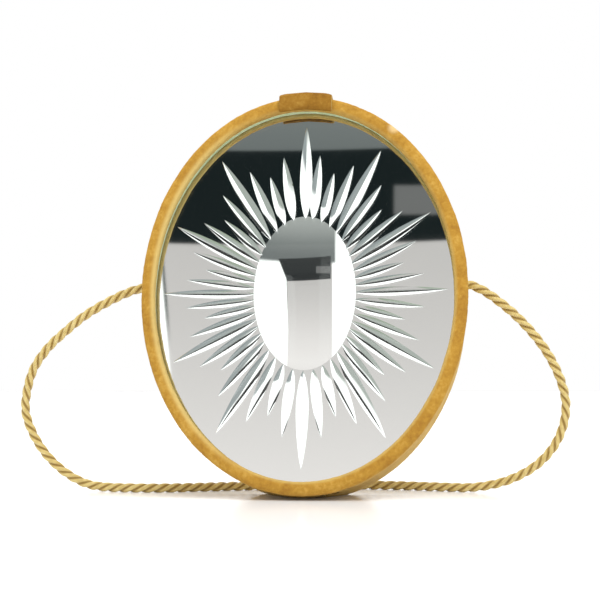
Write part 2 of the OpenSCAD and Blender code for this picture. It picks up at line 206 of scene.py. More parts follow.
class Graph:
    """Small help for wiring shader nodes."""

    def __init__(self, tree):
        self.tree = tree

    def node(self, kind, **settings):
        n = self.tree.nodes.new(kind)
        for k, v in settings.items():
            setattr(n, k, v)
        return n

    def put(self, socket, value):
        if isinstance(value, bpy.types.NodeSocket):
            self.tree.links.new(value, socket)
        else:
            socket.default_value = value

    def math(self, op, *values):
        n = self.node("ShaderNodeMath", operation=op)
        for s, v in zip(n.inputs, values):
            self.put(s, v)
        return n.outputs[0]

    def step(self, x, lo, hi, a=0.0, b=1.0):
        n = self.node("ShaderNodeMapRange", interpolation_type="SMOOTHSTEP")
        for s, v in zip(n.inputs, (x, lo, hi, a, b)):
            self.put(s, v)
        return n.outputs[0]

    def mix(self, factor, a, b):
        n = self.node("ShaderNodeMix", data_type="RGBA")
        self.put(n.inputs[0], factor)
        self.put(n.inputs[6], a)
        self.put(n.inputs[7], b)
        return n.outputs[2]

    def noise(self, vector, scale, detail=3.0, rough=0.5, distort=0.0):
        n = self.node("ShaderNodeTexNoise")
        self.put(n.inputs["Vector"], vector)
        n.inputs["Scale"].default_value = scale
        n.inputs["Detail"].default_value = detail
        n.inputs["Roughness"].default_value = rough
        n.inputs["Distortion"].default_value = distort
        return n.outputs[0]

    def ramp(self, x, stops):
        n = self.node("ShaderNodeValToRGB")
        self.put(n.inputs[0], x)
        n.color_ramp.elements[0].position = stops[0][0]
        n.color_ramp.elements[0].color = stops[0][1]
        n.color_ramp.elements[1].position = stops[-1][0]
        n.color_ramp.elements[1].color = stops[-1][1]
        for pos, color in stops[1:-1]:
            n.color_ramp.elements.new(pos).color = color
        return n.outputs[0]

    def coords(self, scale=(1, 1, 1)):
        c = self.node("ShaderNodeTexCoord")
        m = self.node("ShaderNodeMapping")
        self.put(m.inputs[0], c.outputs["Object"])
        m.inputs["Scale"].default_value = scale
        return m.outputs[0]

    def bump(self, height, strength, distance, normal=None):
        n = self.node("ShaderNodeBump")
        n.inputs["Strength"].default_value = strength
        n.inputs["Distance"].default_value = distance
        self.put(n.inputs["Height"], height)
        if normal is not None:
            self.put(n.inputs["Normal"], normal)
        return n.outputs[0]


def new_material(name, **shader):
    m = bpy.data.materials.new(name)
    m.use_nodes = True
    p = m.node_tree.nodes["Principled BSDF"]
    for k, v in shader.items():
        p.inputs[k.replace("_", " ")].default_value = v
    return m, Graph(m.node_tree), p


def velvet(name, dark, base, light, worn=None):
    m, g, p = new_material(
        name, Roughness=0.85, Specular_IOR_Level=0.15, Sheen_Weight=0.3, Sheen_Roughness=0.35
    )
    p.inputs["Sheen Tint"].default_value = light
    brushed = g.noise(g.coords(), 420, 4, 0.65, 0.3)
    broad = g.noise(g.coords(), 75, 3, 0.55, 0.6)
    both = g.math("ADD", g.math("MULTIPLY", brushed, 0.5), g.math("MULTIPLY", broad, 0.5))
    colour = g.ramp(both, [(0.36, dark), (0.52, base), (0.68, light)])
    # painted sheen: the colour turns toward the light tone where the surface is seen edge-on
    face = g.node("ShaderNodeLayerWeight")
    face.inputs[0].default_value = 0.35
    colour = g.mix(g.math("MULTIPLY", g.math("POWER", face.outputs["Facing"], 2.0), 0.45), colour, light)
    # painted highlight: the colour is lightened toward a pale shine by the per-vertex amount
    painted_light = g.node("ShaderNodeAttribute", attribute_name="painted_light").outputs["Fac"]
    shine = tuple(0.55 * c + 0.38 * w for c, w in zip(light, (0.9, 0.8, 0.36, 1)))
    colour = g.mix(g.math("MULTIPLY", painted_light, 0.8), colour, shine)
    if worn:
        c = g.node("ShaderNodeTexCoord").outputs["Object"]
        d = g.node("ShaderNodeVectorMath", operation="DISTANCE")
        g.put(d.inputs[0], c)
        d.inputs[1].default_value = worn
        colour = g.mix(g.step(d.outputs["Value"], 0.0042, 0.0012, 0, 0.55), colour, srgb(226, 200, 150))
    g.put(p.inputs["Base Color"], colour)
    pile = g.noise(g.coords(), 2600, 2, 0.6)
    rows = g.bump(brushed, 0.3, 0.0008)
    g.put(p.inputs["Normal"], g.bump(pile, 0.55, 0.00025, rows))
    return m


def satin(name, base, light, shade):
    m, g, p = new_material(
        name, Roughness=0.34, Specular_IOR_Level=0.55,
        Sheen_Weight=0.2, Sheen_Roughness=0.3, Anisotropic=0.5,
    )
    at = g.coords()
    soft = g.noise(at, 60, 3, 0.5, 0.4)
    thread = g.noise(g.coords((1, 1, 0.06)), 5200, 2, 0.5)
    colour = g.ramp(soft, [(0.32, shade), (0.5, base), (0.68, light)])
    colour = g.mix(g.math("MULTIPLY", thread, 0.16), colour, light)
    g.put(p.inputs["Base Color"], colour)
    g.put(p.inputs["Roughness"], g.step(soft, 0.3, 0.7, 0.28, 0.42))
    g.put(p.inputs["Normal"], g.bump(thread, 0.25, 0.00008))
    return m


def metal(name, colour, rough):
    m, g, p = new_material(name, Metallic=1.0)
    spots = g.noise(g.coords(), 900, 4, 0.6)
    g.put(p.inputs["Base Color"], g.mix(spots, colour, tuple(c * 0.72 for c in colour[:3]) + (1,)))
    g.put(p.inputs["Roughness"], g.step(spots, 0.2, 0.8, rough * 0.7, rough * 1.5))
    g.put(p.inputs["Normal"], g.bump(spots, 0.15, 0.00004))
    return m


def board(name, base, fleck, scale=1400):
    m, g, p = new_material(name, Roughness=0.9)
    grain = g.noise(g.coords((1, 0.25, 1)), scale, 5, 0.7)
    light = tuple(c * 1.15 for c in base[:3]) + (1,)
    g.put(p.inputs["Base Color"], g.ramp(grain, [(0.3, fleck), (0.55, base), (0.75, light)]))
    g.put(p.inputs["Normal"], g.bump(grain, 0.5, 0.0002))
    return m


def rope_material():
    m, g, p = new_material(
        "rope_satin", Roughness=0.36, Specular_IOR_Level=0.5,
        Sheen_Weight=0.25, Sheen_Roughness=0.3, Anisotropic=0.4,
    )
    uv = g.node("ShaderNodeSeparateXYZ")
    g.put(uv.inputs[0], g.node("ShaderNodeUVMap").outputs[0])
    turn = g.math("ADD", g.math("MULTIPLY", uv.outputs[0], 9.0), g.math("MULTIPLY", uv.outputs[1], 0.55))
    yarn = g.math("MULTIPLY_ADD", g.math("SINE", g.math("MULTIPLY", turn, 6.2832)), 0.5, 0.5)
    soft = g.noise(g.coords(), 420, 3, 0.6)
    tone = g.math("ADD", g.math("MULTIPLY", yarn, 0.25), g.math("MULTIPLY", soft, 0.75))
    colour = g.ramp(tone, [(0.2, srgb(176, 150, 80)), (0.5, srgb(200, 177, 108)), (0.8, srgb(224, 208, 148))])
    # painted shade: the side of each strand that faces into the grooves between strands is darkened
    outward = g.math("COSINE", g.math("MULTIPLY", uv.outputs[0], 6.2832))
    colour = g.mix(g.step(outward, 0.75, 0.3), colour, srgb(160, 131, 68))
    g.put(p.inputs["Base Color"], colour)
    g.put(p.inputs["Normal"], g.bump(yarn, 0.25, 0.0001))
    return m


def mirror_material():
    m, g, p = new_material("silver_mirror", Metallic=1.0, Roughness=0.015)
    patches = g.noise(g.coords(), 25, 2)
    g.put(p.inputs["Base Color"], g.mix(patches, (0.93, 0.95, 0.945, 1), (0.95, 0.96, 0.955, 1)))
    return m


def glass_material():
    m, g, p = new_material("mirror_glass_clear", Roughness=0.0, IOR=1.5, Transmission_Weight=1.0)
    patches = g.noise(g.coords(), 12, 1)
    g.put(p.inputs["Base Color"], g.mix(patches, (0.955, 0.99, 0.965, 1), (0.965, 0.995, 0.97, 1)))
    return m


def glass_edge_material():
    # painted glow: the ground edge emits a pale green light, standing in for the light that the glass gathers
    # and brings out at its edge
    m, g, p = new_material(
        "glass_edge_green", Roughness=0.45, Specular_IOR_Level=0.5,
        Emission_Color=(0.94, 1.0, 0.56, 1), Emission_Strength=0.2,
    )
    tone = g.noise(g.coords(), 300, 3)
    g.put(p.inputs["Base Color"], g.ramp(tone, [(0.3, srgb(204, 226, 176)), (0.7, srgb(230, 244, 208))]))
    return m


WORN_SPOT = (0.0465, -0.0015, 0.1928)  # on the rim, right of the tab, in metres
GOLD = velvet("velvet_gold", srgb(155, 111, 42), srgb(174, 131, 51), srgb(194, 154, 74), worn=WORN_SPOT)
# painted shade: the tab's velvet is a darker copy of the rim's gold velvet, which sets the tab off from the
# rim
SHADED_TAB_GOLD = velvet("velvet_tab", srgb(124, 84, 27), srgb(142, 101, 34), srgb(162, 122, 52))
# painted sheen: the walls and back use a lighter, paler copy of the gold velvet, for the sheen the side wall
# shows at a grazing angle
SHEEN_TAN = velvet("velvet_tan", srgb(166, 130, 66), srgb(184, 150, 82), srgb(202, 172, 107))
SATIN = satin("lining_satin", srgb(214, 190, 134), srgb(234, 214, 168), srgb(194, 167, 110))
POCKET_SATIN = satin("pocket_satin", srgb(206, 180, 122), srgb(228, 206, 156), srgb(186, 159, 102))
ROPE = rope_material()
SILVER = mirror_material()
GLASS = glass_material()
GLASS_EDGE = glass_edge_material()
GILT = metal("gilt_brass", (0.78, 0.58, 0.24, 1), 0.22)
STEEL = metal("zinc_steel", (0.62, 0.64, 0.66, 1), 0.34)
BOARD = board("greyboard", srgb(176, 158, 128), srgb(128, 112, 88))
WADDING = board("cotton_wadding", srgb(234, 230, 218), srgb(206, 200, 186), 500)
FELT = board("black_felt", srgb(46, 46, 48), srgb(26, 26, 28), 1800)

CAD_MATERIALS = {
    "cord_eyelet_left": GILT, "cord_eyelet_right": GILT, "cord_cap_left": GILT, "cord_cap_right": GILT,
    "hinge_leaf_case": GILT, "hinge_leaf_lid": GILT, "hinge_rivets_case": GILT, "hinge_rivets_lid": GILT,
    "hinge_pin": STEEL, "keeper_plate": STEEL, "tab_magnet": STEEL,
    "case_band": BOARD, "back_panel": BOARD, "lid_board": BOARD, "lid_ring": BOARD, "tab_stiffener": BOARD,
    "back_wadding": WADDING, "rim_core": WADDING, "mirror_pad": FELT,
}
for node_name, node_material in CAD_MATERIALS.items():
    me = NODES[node_name].data
    me.materials.clear()
    me.materials.append(node_material)

# ---- Strap -------------------------------------------------------------------------------------

CORD = [
    [-78, 13, 111], [-86, 13, 111], [-97, 13, 108], [-109, 13, 102.5], [-121, 13, 95.5],
    [-132, 14, 87], [-142, 15, 78], [-150, 16, 67], [-154, 17, 55], [-155, 18, 43],
    [-151, 19, 31], [-144, 20, 20], [-134, 21, 10.5], [-121, 20, 4], [-106, 17, 2.4],
    [-90, 15, 2.4], [-74, 18, 2.4], [-58, 25, 2.4], [-42, 33, 2.4], [-24, 40, 2.4],
    [-6, 45, 2.4], [14, 48, 2.4], [34, 48, 2.4], [53, 44, 2.4], [70, 38, 2.4],
    [86, 32, 2.6], [100, 28, 5], [112, 26, 9.5], [122, 24, 16], [130, 22, 25],
    [135, 20, 36], [136.5, 19, 48], [134, 18, 60], [128.5, 16, 72], [121, 15, 83],
    [111, 14, 94], [101, 13, 102.5], [93, 13, 108], [86, 13, 111], [78, 13, 111],
]
STRANDS = 3
STRAND_R = HELIX_R = 1.23
LEAD = 19
EYELET_BACK, EYELET_UP = 6, 8.5  # from the bag's middle


def cord_line():
    """The same spline as the CAD's, set out every 0.6 mm."""
    exit_y = CENTRE_Y + EYELET_BACK * COS + EYELET_UP * SIN
    exit_z = CENTRE_Z - EYELET_BACK * SIN + EYELET_UP * COS
    pts = [np.array([p[0], exit_y, exit_z] if abs(p[0]) < 87 and p[2] > 100 else p, float) for p in CORD]
    pts = [2 * pts[0] - pts[1]] + pts + [2 * pts[-1] - pts[-2]]
    fine = []
    for a, b, c, d in zip(pts, pts[1:], pts[2:], pts[3:]):
        for u in np.arange(24) / 24:
            square, cube = 2 * a - 5 * b + 4 * c - d, 3 * b - a - 3 * c + d
            p = (2 * b + (c - a) * u + square * u**2 + cube * u**3) / 2
            fine.append([p[0], p[1], max(p[2], CORD_D / 2 + 0.05)])
    fine.append(list(pts[-2]))
    fine = np.array(fine)
    s = np.concatenate([[0], np.cumsum(np.linalg.norm(np.diff(fine, axis=0), axis=1))])
    at = np.linspace(0, s[-1], int(s[-1] / 0.6) + 1)
    return np.stack([np.interp(at, s, fine[:, k]) for k in range(3)], axis=1), at


def make_rope():
    line, s = cord_line()
    way = np.gradient(line, axis=0)
    way /= np.linalg.norm(way, axis=1)[:, None]
    side = np.zeros_like(line)
    side[0] = (0, 1, 0)
    for i in range(1, len(line)):  # parallel transport, so that the lay stays even
        v = side[i - 1] - way[i] * side[i - 1].dot(way[i])
        side[i] = v / np.linalg.norm(v)
    up = np.cross(way, side)
    sides = 16
    ring = np.arange(sides) * 2 * math.pi / sides
    points, faces = [], []
    for k in range(STRANDS):
        phase = -2 * math.pi * s / LEAD + 2 * math.pi * k / STRANDS
        out = np.cos(phase)[:, None] * side + np.sin(phase)[:, None] * up
        round_ = -np.sin(phase)[:, None] * side + np.cos(phase)[:, None] * up
        core = line + out * HELIX_R
        # the strand's own section is square to its helix
        pitch = math.atan2(2 * math.pi * HELIX_R, LEAD)
        cross = math.cos(pitch) * round_ + math.sin(pitch) * way
        swell = 1 + 0.035 * np.sin(7 * ring[None, :] + s[:, None] * 1.9)
        r = STRAND_R * 1.03 * swell
        tube = core[:, None, :] + r[..., None] * (
            np.cos(ring)[None, :, None] * out[:, None, :] + np.sin(ring)[None, :, None] * cross[:, None, :]
        )
        tube[..., 2] = np.maximum(tube[..., 2], 0.03)
        base = len(points)
        points.extend(tube.reshape(-1, 3) * 0.001)
        for f in tube_of_rings(tube, False):
            faces.append(tuple(base + i for i in f))
    me = bpy.data.meshes.new("strap_rope")
    me.from_pydata([tuple(p) for p in points], [], faces)
    layer = me.uv_layers.new(name="UVMap")
    n = len(line)
    for poly in me.polygons:
        js = [v % (n * sides) % sides for v in poly.vertices]
        wrap = max(js) == sides - 1 and min(js) == 0 and len(js) == 4
        for loop, v, j in zip(poly.loop_indices, poly.vertices, js):
            i = v % (n * sides) // sides
            u = sides if wrap and j == 0 else j
            layer.data[loop].uv = (u / sides, s[i])
    bm = bmesh.new()
    bm.from_mesh(me)
    bmesh.ops.recalc_face_normals(bm, faces=bm.faces)
    for f in bm.faces:
        f.smooth = len(f.verts) == 4
    bm.to_mesh(me)
    bm.free()
    me.materials.append(ROPE)
    o = bpy.data.objects.new("strap_rope", me)
    scene.collection.objects.link(o)
    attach(o, "case")
    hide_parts("strap_cord")


make_rope()

# ---- Velvet ------------------------------------------------------------------------------------


def mouth(t, closed, slot):
    """Depth of a wall's mouth edge: it steps back beside the hinge."""
    x = HALF_W * np.cos(t)
    near = smooth(np.abs(x), 19.5, 17.8) * (np.sin(t) < 0)
    return closed + (slot - closed) * near


def square_off(v):
    """Turns the sine or cosine of an ellipse into that of a squarish one."""
    return np.sign(v) * np.abs(v) ** 0.7


def make_rim():
    steps = 1080
    a = np.arange(40) * 2 * math.pi / 40
    inset = RIM_R + RIM_R * square_off(np.cos(a))
    depth = RIM_HALF_T - RIM_HALF_T * square_off(np.sin(a))
    o = sweep("rim_roll", lambda t: (inset[None, :] + 0 * t, depth[None, :] + 0 * t), [GOLD], "lid", steps)
    # painted highlight on the inner side of the roll, most at the left of the oval and least at the top, and
    # on its underside that faces the glass
    turn = np.arange(steps) * 2 * math.pi / steps
    left = smooth(-np.cos(turn), 0.2, 0.8)
    low = smooth(-np.sin(turn), -0.6, 0.1)
    wide = smooth(inset, 3.9, 6.6)[None, :] * left[:, None]
    narrow = smooth(inset, 5.0, 7.0)[None, :] * (0.3 + 0.4 * low)[:, None]
    under = (smooth(inset, 3.6, 6) * smooth(-np.sin(a), 0.1, 0.5))[None, :]
    shade(o, np.maximum(np.maximum(wide, narrow * (1 - left[:, None])), under).ravel())
    nap(o, [(11, 0.18), (2.6, 0.1), (1.1, 0.08)])
    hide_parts("rim_velvet")


def make_case_wall():
    """The case's velvet: round the lip of its mouth, back along the outside, and forward inside."""
    wall = np.linspace(18.2, 42.3, 18)

    def profile(t):
        m = mouth(t, 17.06, 20.2)
        outer = [(INNER_INSET, 1.8), (4.1, 0.5), (3.8, 0.12), (3.0, 0), (1.6, 0), (0.95, 0.12), (0.66, 0.45)]
        inset = [p[0] for p in outer] + [WALL_INSET] * len(wall)
        inset += [0.7, 1.0, 1.5, 1.9] + [1.95] * 4 + [1.95, 2.4]
        ys = [m + p[1] for p in outer]
        ys += [np.maximum(w, m + 0.9 + 0.01 * i) for i, w in enumerate(wall)]
        ys += [m * 0 + v for v in (43.0, 43.35, 43.45, 43.3, 42.0, 36.0, 30.0, 24.0)] + [m + 2.2, m + 1.9]
        return np.array(inset)[None, :] + 0 * t, np.concatenate(ys, axis=1)

    o = sweep("case_wall", profile, [SHEEN_TAN], "case", 720)
    nap(o, [(14, 0.12), (2.2, 0.08)], floor=True)
    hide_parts("band_velvet")


def make_front_wall():
    """The front's velvet wall: from behind the rim to the lip at the seam, and forward inside."""

    def profile(t):
        m = mouth(t, 16.94, 13.8)
        first = [(0.8, 5.2), (0.62, 6.2)] + [(WALL_INSET, y) for y in (7.6, 9.6, 11.6, 13.0)]
        lip = [(WALL_INSET, 0.9), (0.66, 0.42), (0.95, 0.12), (1.6, 0), (3.0, 0), (3.8, 0.12)]
        lip += [(4.1, 0.5), (INNER_INSET, 1.2)]
        inset = [p[0] for p in first] + [p[0] for p in lip] + [INNER_INSET] * 2 + [1.9] * 2
        ys = [np.minimum(m * 0 + p[1], m - 0.95) for p in first] + [m - p[1] for p in lip]
        ys += [np.minimum(m - 1.5, 14.3), np.minimum(m - 1.8, 13.6), m * 0 + 11.0, m * 0 + 6.4]
        return np.array(inset)[None, :] + 0 * t, np.concatenate(ys, axis=1)

    o = sweep("front_wall", profile, [SHEEN_TAN], "lid", 720)
    nap(o, [(2.2, 0.05)])
    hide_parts("lid_band_velvet")


def disc(name, inset, front, back, materials, body, rings, around):
    """A closed oval panel. front(k, t) and back(k, t) are its faces' depths, where k is 1 at the edge."""
    t = np.arange(around) * 2 * math.pi / around
    x1, z1 = oval(t, inset)
    ks = np.linspace(0, 1, rings + 1)[1:] ** 0.85
    points, faces = [], []
    for face in (back, front):
        base = len(points)
        points.append(world(0.0, float(face(0.0, 0.0)), 0.0))
        for k in ks:
            points.extend(world(x1 * k, np.broadcast_to(face(k, t), t.shape), z1 * k))
        for i in range(around):
            faces.append((base, base + 1 + i, base + 1 + (i + 1) % around))
        faces.extend(tuple(base + 1 + f) for f in grid_faces(rings, around, False, True))
    n = 1 + rings * around
    last = 1 + (rings - 1) * around
    for i in range(around):
        j = (i + 1) % around
        faces.append((last + i, last + j, n + last + j, n + last + i))
    return add_mesh(name, points, faces, materials, body)


def make_case_back():
    def back(k, t):
        turned_in = np.clip((k - 0.965) / 0.035, 0, 1)
        return 43.25 + 0.75 * np.sqrt(np.clip(1 - turned_in**2, 0, 1)) + 0.55 * (1 - k**2)

    o = disc("case_back", 1.75, lambda k, t: 42.75 + 0 * t, back, [SHEEN_TAN], "case", rings=70, around=420)
    nap(o, [(26, 0.3), (3, 0.08)], floor=True)
    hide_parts("back_velvet")


def corner(left, r):
    """How much a round corner of radius r takes off the half width, at a distance left from the end."""
    return r - math.sqrt(max(0, r**2 - (r - left) ** 2)) if left < r else 0


def make_tab():
    """The whole tab in one skin: over the rim, then straight back past the seam along the case."""
    a = np.radians(np.linspace(14, 180, 34))
    over_rim = [(3.0 + 5.2 * square_off(math.cos(v)), 1.4 - 4.0 * square_off(math.sin(v))) for v in a]
    straight = [(-TAB_OUT, y) for y in np.arange(2.2, TAB_END, 0.85)]
    path = np.array(over_rim + straight + [(-TAB_OUT, TAB_END)])
    step = np.concatenate([[0], np.cumsum(np.linalg.norm(np.diff(path, axis=0), axis=1))])
    total = step[-1]
    tangent = np.gradient(path, axis=0)
    tangent /= np.linalg.norm(tangent, axis=1)[:, None]
    inward = np.stack([tangent[:, 1], -tangent[:, 0]], axis=1)
    theta = np.arange(72) * 2 * math.pi / 72
    rings = []
    for i, (p, s) in enumerate(zip(path, step)):
        ends = min(1, 1 - max(0, 1 - s) ** 2, 1 - max(0, 1 - (total - s)) ** 2)
        full = 2.05 + 0.42 * smooth(p[1], 18.2, 21.5)  # thicker on the flap, which holds the magnet
        thick = full * math.sqrt(max(0.02, ends))
        half = max(8, TAB_HALF_W - corner(total - s, 5.0) - corner(s, 1.6))
        c, d = np.cos(theta), np.sin(theta)
        across = half * np.sign(c) * np.abs(c) ** 0.16
        deep = full / 2 + 0.02 + thick / 2 * np.sign(d) * np.abs(d) ** 0.45
        inset = p[0] + inward[i, 0] * deep
        y = p[1] + inward[i, 1] * deep
        t = np.arccos(np.clip(across / (HALF_W - inset), -1, 1))
        rings.append(world(across, y, oval(t, inset)[1]))
    rings = np.array(rings)
    o = add_mesh("tab_cover", rings.reshape(-1, 3), tube_of_rings(rings, False), [SHADED_TAB_GOLD])
    # painted highlight along both edges of the tab, stronger on the right
    painted_edge_highlight = smooth(np.cos(theta), 0.86, 0.99) * 0.8 + smooth(-np.cos(theta), 0.93, 0.995) * 0.4
    shade(o, np.tile(painted_edge_highlight, len(path)))
    nap(o, [(7, 0.1), (2.2, 0.07), (1.1, 0.05)])
    at = world(0.0, np.array([SEAM - 1, SEAM + 1]), HALF_H + 1.5)
    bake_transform(o)
    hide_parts("tab_wrap", "tab_flap")


make_rim()
make_case_wall()
make_front_wall()
make_case_back()
make_tab()

# ---- Mirror ------------------------------------------------------------------------------------

FRONT = Vector((0, -COS, SIN))  # the way the mirror faces
GLASS_INSET = 6.0
GLASS_FRONT = 7.0
PLANE = 10.6  # the glass's back
DOME_UP = 0.9
DOME_A, DOME_B, DOME_RISE = 26.8, 41.0, 1.05
CUT_COUNT = 48
SLOPE = 0.21
PEAK = 0.62  # where a cut is widest, from its tip
KINDS = [2, 1, 0, 1]  # in turn from the top: long, medium, short, medium
TIPS = [(53.6, 68.0), (62.8, 75.8), (74.6, 91.4)]
WIDTHS = [5.2, 5.6, 6.6]


def reach(a, b, angle):
    return 1 / math.hypot(math.cos(angle) / a, math.sin(angle) / b)


def join_in(target, extra):
    mod = target.modifiers.new("join", "BOOLEAN")
    mod.operation = "UNION"
    mod.solver = "MANIFOLD"
    mod.object = extra
    dg = bpy.context.evaluated_depsgraph_get()
    me = bpy.data.meshes.new_from_object(target.evaluated_get(dg))
    target.modifiers.clear()
    old = target.data
    target.data = me
    bpy.data.meshes.remove(old)
    bpy.data.objects.remove(extra)


def cut_solid(i):
    """One wheel cut as a ridge with two rounded facets, which stands on the silver's plane."""
    angle = 90 - 360 / CUT_COUNT * i
    if i:
        a = math.radians(angle)
        angle += 0.7 + 1.1 * math.cos(a) + 2 * math.sin(a) + 0.9 * math.sin(3 * a)
    angle = math.radians(angle)
    kind = KINDS[i % 4]
    tip = reach(*TIPS[kind], angle)
    inner = reach(DOME_A, DOME_B, angle) - 0.6
    width = WIDTHS[kind] * (0.72 + 0.28 * abs(math.sin(angle)))
    s = np.linspace(0, 1, 33)
    swell = np.where(
        s < PEAK,
        np.sin(np.pi / 2 * np.clip(s / PEAK, 0, 1)) ** 0.8,
        np.clip(np.cos(np.pi / 2 * np.clip((s - PEAK) / (1 - PEAK), 0, 1)), 0, 1) ** 0.7,
    )
    half = np.maximum(0.03, width / 2 * swell)
    r = tip + (inner - tip) * s
    across = np.array([1.0, 0.8, 0.6, 0.4, 0.2, 0.0, -0.2, -0.4, -0.6, -0.8, -1.0])
    # steeper toward the edges
    rise = SLOPE * (1 - np.abs(across)) * (1 + 0.42 * np.abs(across))
    ring = np.zeros((len(s), len(across) + 2, 3))
    for j, (side, up) in enumerate(zip([1, *across, -1], [None, *rise, None])):
        w = side * half
        h = np.full(len(s), 0.15) if up is None else -half * up
        x = r * math.cos(angle) - w * math.sin(angle)
        z = r * math.sin(angle) + w * math.cos(angle)
        ring[:, j] = world(x, PLANE + h, z)
    return add_mesh("cut", ring.reshape(-1, 3), tube_of_rings(ring, False), [SILVER], flat=True)


def make_silver():
    """The silvering on the glass's back. It fills the dome and the cuts, so they are raised on it."""
    t = np.arange(240) * 2 * math.pi / 240
    x, z = oval(t, GLASS_INSET)
    ring = np.stack([world(x, PLANE, z), world(x, PLANE + 0.28, z)])
    o = add_mesh("mirror_silver", ring.reshape(-1, 3), tube_of_rings(ring, False), [SILVER], flat=True)
    rho = np.linspace(0.02, 1.05, 40)
    a = np.arange(160) * 2 * math.pi / 160
    rings = np.array([
        world(DOME_A * k * np.cos(a), PLANE - DOME_RISE * (1 - k * k), DOME_B * k * np.sin(a) + DOME_UP)
        for k in rho
    ])
    foot = world(DOME_A * 1.05 * np.cos(a), PLANE + 0.2, DOME_B * 1.05 * np.sin(a) + DOME_UP)
    rings = np.concatenate([rings, foot[None]])
    join_in(o, add_mesh("dome", rings.reshape(-1, 3), tube_of_rings(rings, False), [SILVER], flat=True))
    for i in range(CUT_COUNT):
        join_in(o, cut_solid(i))
    bm = bmesh.new()
    bm.from_mesh(o.data)
    for f in bm.faces:
        f.smooth = True
    # sharp where a cut meets the plane, and along its ridge
    for e in bm.edges:
        if len(e.link_faces) == 2:
            na, nb = (f.normal for f in e.link_faces)
            planes = sum(n.dot(FRONT) > 0.999999 for n in (na, nb))
            e.smooth = not (planes == 1 or na.angle(nb, 0) > math.radians(8))
    bm.to_mesh(o.data)
    bm.free()
    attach(o, "lid")
    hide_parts("mirror_silvering")


def make_glass():
    t = np.arange(360) * 2 * math.pi / 360
    rows = [(GLASS_INSET + 0.15, GLASS_FRONT), (GLASS_INSET + 0.02, GLASS_FRONT + 0.1)]
    rows += [(GLASS_INSET, GLASS_FRONT + 0.2), (GLASS_INSET, PLANE + 0.1)]
    rings = np.stack([world(oval(t, i)[0], y, oval(t, i)[1]) for i, y in rows])
    faces = tube_of_rings(rings, False)
    o = add_mesh("mirror_pane", rings.reshape(-1, 3), faces, [GLASS, GLASS_EDGE], "lid", flat=True)
    for p in o.data.polygons:
        if abs(p.normal.dot(FRONT)) < 0.1:
            p.material_index = 1
            p.use_smooth = True
    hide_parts("mirror_glass")


make_silver()
make_glass()

# ---- Inside ------------------------------------------------------------------------------------


def make_case_lining():
    """A satin cup: back and wall in one closed skin, with soft puckers."""
    around = 300
    t = np.arange(around) * 2 * math.pi / around

    def skin(off):
        rows = []
        m = mouth(t, 17.7, 21.0)
        x1, z1 = oval(t, LINING_INSET - off)
        for y in np.linspace(0, 1, 18):
            rows.append(world(x1, m + (36.6 - m) * y, z1))
        for c in np.radians([20, 40, 60, 80]):
            x, z = oval(t, LINING_INSET - off + 1.6 * (1 - np.cos(c)))
            rows.append(world(x, 36.6 + 1.6 * np.sin(c) + off, z))
        for k in np.linspace(0.95, 0.02, 40):
            x, z = x1 * k, z1 * k
            rows.append(world(x, 38.25 + off - 0.2 * (1 - k * k), z))
        return np.array(rows)

    inner, outer = skin(0.0), skin(0.6)
    n = inner.shape[0] * around
    points = np.concatenate([inner.reshape(-1, 3), outer.reshape(-1, 3)])
    f = grid_faces(inner.shape[0], around, False, True)
    faces = [tuple(q) for q in f] + [tuple(q + n) for q in f]
    last = (inner.shape[0] - 1) * around
    for i in range(around):
        j = (i + 1) % around
        faces.append((i, j, n + j, n + i))
    faces.append(tuple(last + i for i in range(around)))
    faces.append(tuple(n + last + i for i in range(around)))
    o = add_mesh("case_satin", points, faces, [SATIN], "case")
    nap(o, [(17, 0.25), (6, 0.1)])
    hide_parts("case_lining")


def make_front_lining():
    o = disc(
        "front_satin", INNER_INSET, lambda k, t: 13.5, lambda k, t: 14.15 + 0.45 * (1 - k**6), [SATIN], "lid",
        rings=60, around=300,
    )
    nap(o, [(19, 0.22), (6, 0.08)])
    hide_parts("lid_lining")


def two_sided(rows, cols):
    """Faces of a thin sheet: two grids of rows by cols points, closed along their edges."""
    n = rows * cols
    grid = grid_faces(rows, cols, False, False)
    faces = [tuple(q) for q in grid] + [tuple(q + n) for q in grid]
    edge = [(0, i) for i in range(cols)] + [(j, cols - 1) for j in range(1, rows)]
    edge += [(rows - 1, i) for i in range(cols - 2, -1, -1)] + [(j, 0) for j in range(rows - 2, 0, -1)]
    loop = [a * cols + b for a, b in edge]
    for a, b in zip(loop, loop[1:] + loop[:1]):
        faces.append((a, b, n + b, n + a))
    return faces


def make_pocket():
    """A flat pocket over the lower half of the back, with a hem along its top edge."""
    nx, nz = 90, 50
    rows = []
    u = np.linspace(-1, 1, nx)
    for v in np.linspace(0, 1, nz):
        z = -6 - v * 92.5
        half = 78.5 * np.sqrt(np.clip(1 - (z / 99.0) ** 2, 0.0004, 1))
        x = u * half
        sag = 1.2 * (1 - u**2) * smooth(v, 0.35, 0.0)
        rows.append((x, 37.75 - sag - 0.25 * (1 - u**6), z + 0 * u + 1.6 * (1 - v) * (u**2 - 1) * 0.8))
    # twice as thick, both ways, at the hem
    thick = smooth(np.linspace(0, 1, nz), 0.075, 0.06)[:, None] * SATIN_T + SATIN_T
    back = np.array([world(x, y + h, z) for (x, y, z), h in zip(rows, thick)])
    front = np.array([world(x, y - (h - SATIN_T), z) for (x, y, z), h in zip(rows, thick)])
    points = np.concatenate([front.reshape(-1, 3), back.reshape(-1, 3)])
    o = add_mesh("pocket_satin", points, two_sided(nz, nx), [POCKET_SATIN], "case")
    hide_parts("slip_pocket")


